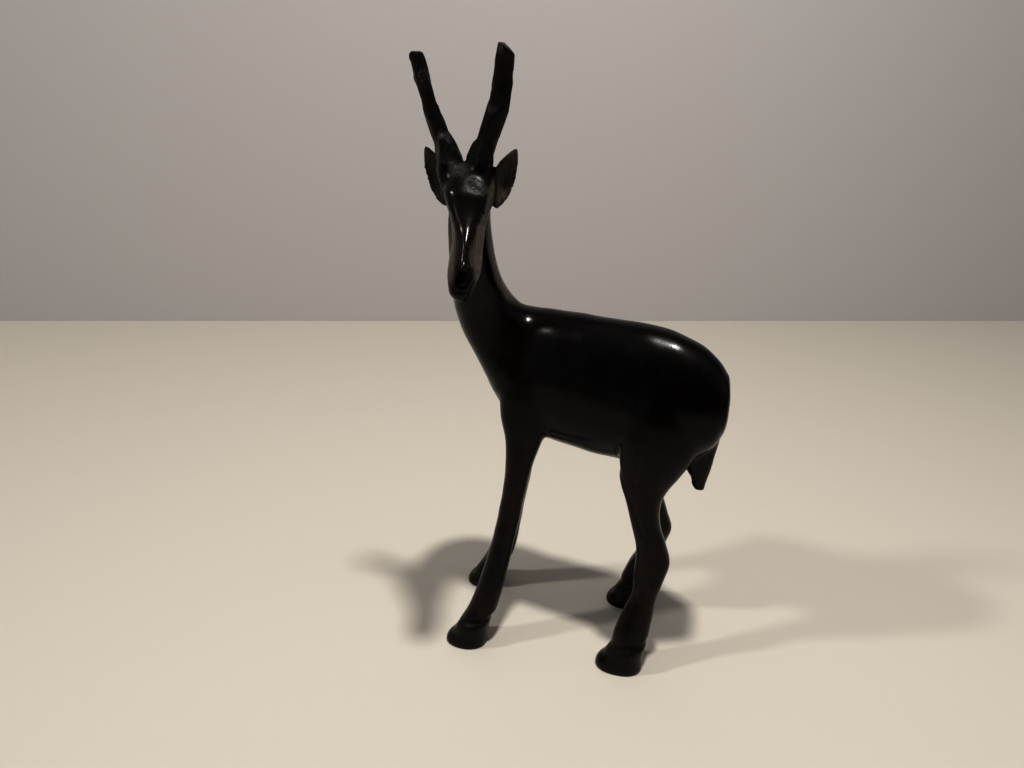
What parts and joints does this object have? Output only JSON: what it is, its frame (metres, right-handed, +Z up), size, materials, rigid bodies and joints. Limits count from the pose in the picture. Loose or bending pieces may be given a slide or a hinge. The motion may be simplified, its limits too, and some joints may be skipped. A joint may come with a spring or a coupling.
{
  "type": "wooden gazelle carving",
  "caption": "Standing gazelle carved from one block of dark polished hardwood, with upright horns, leaf-shaped ears, its trunk turned a little to the right and its head to the left.",
  "frame": {"origin": "on the floor under the middle of the carving's outline", "axes": "+X towards the tail, -X towards the chest, -Y the side the face looks to (the animal's left), +Z up"},
  "size_m": [0.093, 0.0614, 0.1937],
  "materials": {
    "polished_blackwood": "hand carved, stained near black and wax polished, duller and rougher on the horns and ears"
  },
  "bodies": {
    "root": {"gazelle": "polished_blackwood"}
  },
  "joints": []
}
